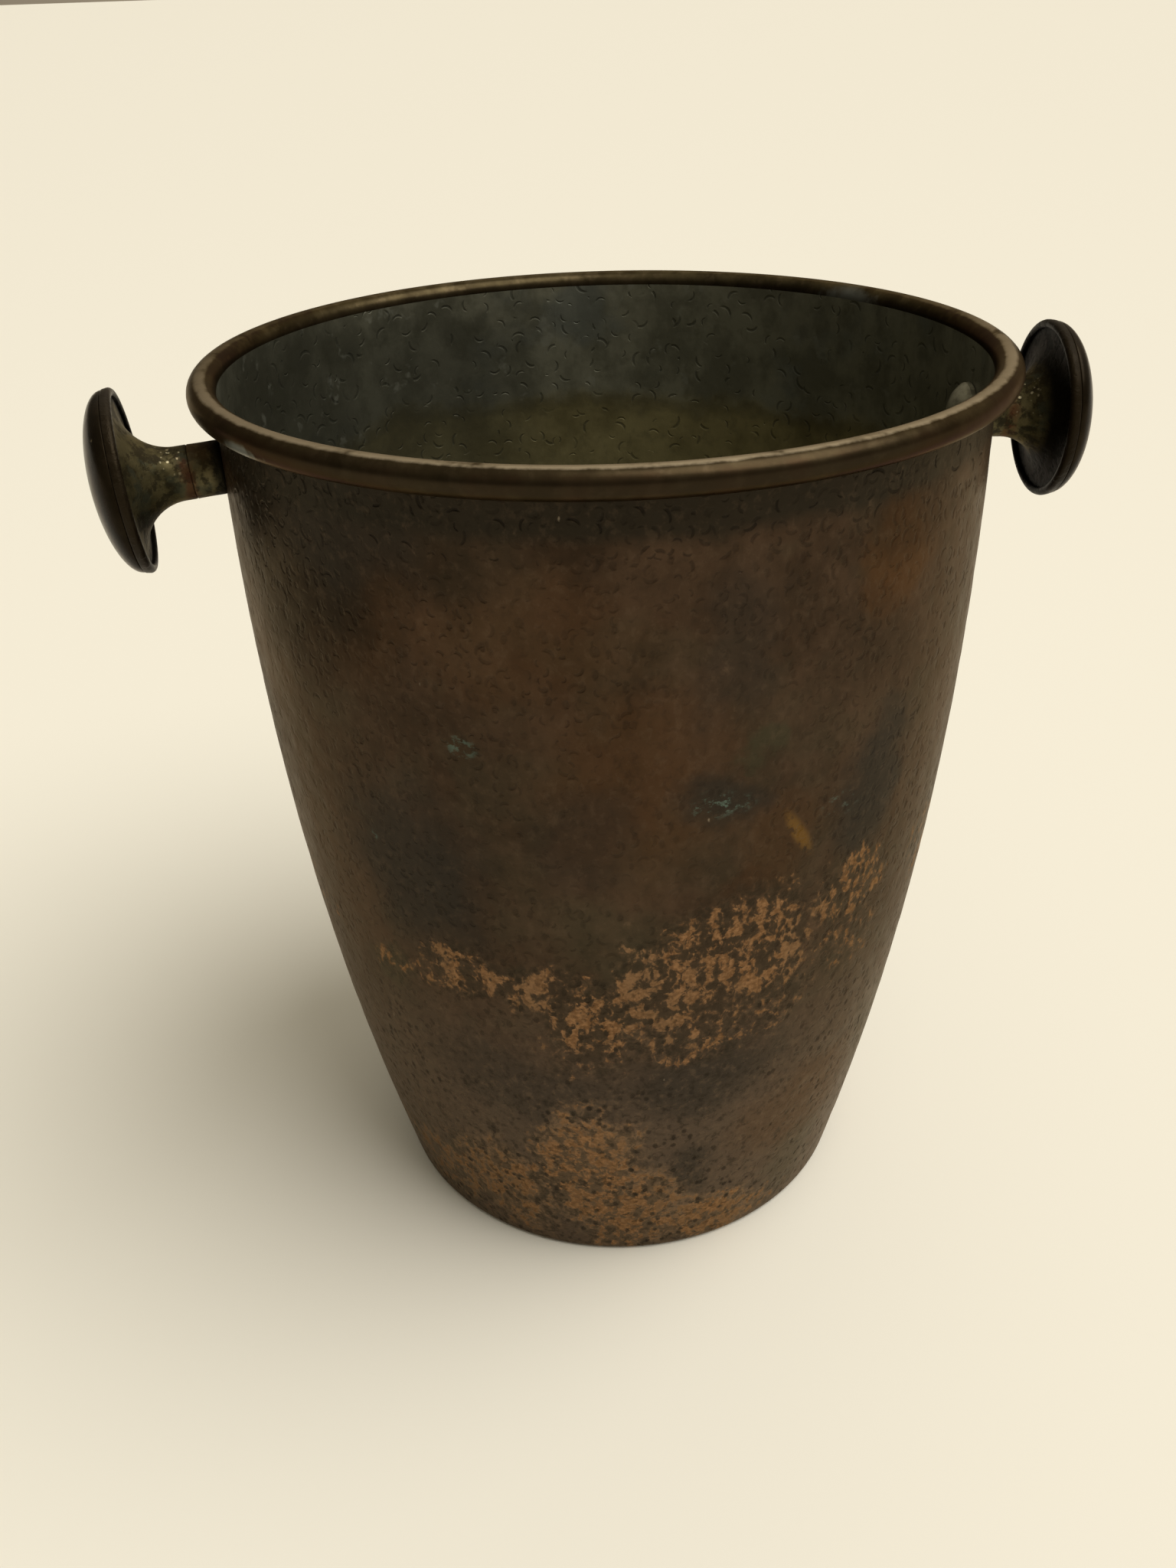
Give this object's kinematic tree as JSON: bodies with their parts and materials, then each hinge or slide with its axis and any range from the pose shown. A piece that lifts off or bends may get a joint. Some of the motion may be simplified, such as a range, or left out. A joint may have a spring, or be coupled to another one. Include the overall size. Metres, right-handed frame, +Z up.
{
  "type": "ice bucket",
  "caption": "Tapering hammered copper ice bucket with a rolled rim, a dished base and a mushroom knob on a short stem at each side.",
  "frame": {"origin": "centre of the foot on the resting surface", "axes": "+Z up along the bucket's axis, out of the mouth; the two knobs to +X and -X, each 5.2 degrees round from the X axis towards -Y, the front; Y across them"},
  "size_m": [0.246, 0.2, 0.2441],
  "materials": {
    "patinated_copper": "hammered copper with a dark brown patina, worn orange in patches, tinned inside",
    "rim_wire": "drawn iron wire, hidden in the roll",
    "knob_bronze": "smooth, dark brown, glossy",
    "aged_brass": "brass with a mottled olive-green patina",
    "tinned_brass": "dull grey tinning over brass"
  },
  "bodies": {
    "root": {"copper_shell": "patinated_copper", "rim_wire": "rim_wire", "right_cap": "knob_bronze", "right_flare": "aged_brass", "right_collar": "aged_brass", "right_screw": "tinned_brass", "left_cap": "knob_bronze", "left_flare": "aged_brass", "left_collar": "aged_brass", "left_screw": "tinned_brass"}
  },
  "joints": []
}
